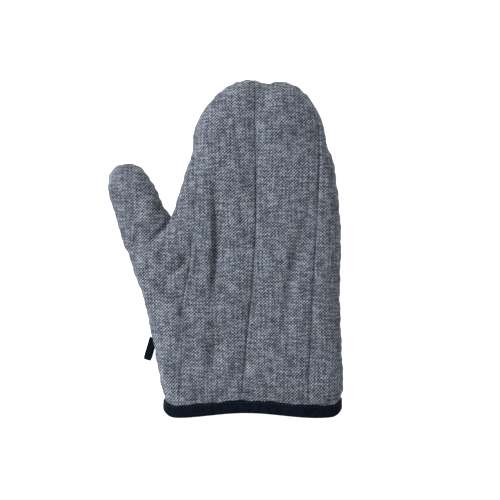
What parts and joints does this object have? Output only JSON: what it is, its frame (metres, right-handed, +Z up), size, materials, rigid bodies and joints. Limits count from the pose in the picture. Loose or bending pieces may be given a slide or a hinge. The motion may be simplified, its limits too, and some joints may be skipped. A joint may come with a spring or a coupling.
{
  "type": "oven mitt",
  "caption": "Quilted fabric oven mitt with a thumb, a padded and lined hand pocket, a bound cuff and a hanging loop, lying flat.",
  "frame": {"origin": "centre of the footprint on the surface the mitt lies on, without regard to left and right pieces", "axes": "+Y from the cuff towards the fingertips, +X away from the thumb, +Z up out of the front panel"},
  "size_m": [0.213, 0.3035, 0.03],
  "materials": {
    "chambray": "matte grey-blue woven linen and cotton",
    "wadding": "soft cotton batting",
    "lining": "plain natural cotton",
    "navy_tape": "matte navy twill tape",
    "grey_thread": "sewing thread",
    "navy_thread": "sewing thread"
  },
  "bodies": {
    "hand": {"front_shell_hand": "chambray", "back_shell_hand": "chambray", "front_batting_hand": "wadding", "back_batting_hand": "wadding", "front_lining_hand": "lining", "back_lining_hand": "lining", "front_quilting_thread_1": "grey_thread", "front_quilting_thread_2": "grey_thread", "front_quilting_thread_3": "grey_thread", "back_quilting_thread_1": "grey_thread", "back_quilting_thread_2": "grey_thread", "back_quilting_thread_3": "grey_thread", "side_seam_thread_outer": "grey_thread", "side_seam_thread_fingers": "grey_thread", "cuff_binding": "navy_tape", "binding_stitches": "navy_thread"},
    "thumb": {"front_shell_thumb": "chambray", "back_shell_thumb": "chambray", "front_batting_thumb": "wadding", "back_batting_thumb": "wadding", "front_lining_thumb": "lining", "back_lining_thumb": "lining", "front_quilting_thread_thumb": "grey_thread", "back_quilting_thread_thumb": "grey_thread", "side_seam_thread_thumb": "grey_thread"},
    "loop": {"hanging_loop": "navy_tape"}
  },
  "joints": [
    {"name": "thumb_fold", "type": "hinge", "parent": "hand", "child": "thumb", "pos_m": [-0.0484, 0.0284, 0.0302], "axis": [0.2588, 0.9659, 0], "range_deg": [0, 50], "stiffness_Nm_per_rad": 0.04},
    {"name": "loop_swing", "type": "hinge", "parent": "hand", "child": "loop", "pos_m": [-0.0664, -0.0823, 0.0136], "axis": [-0.2302, 0.9731, 0], "range_deg": [-10, 80], "stiffness_Nm_per_rad": 0.002}
  ]
}
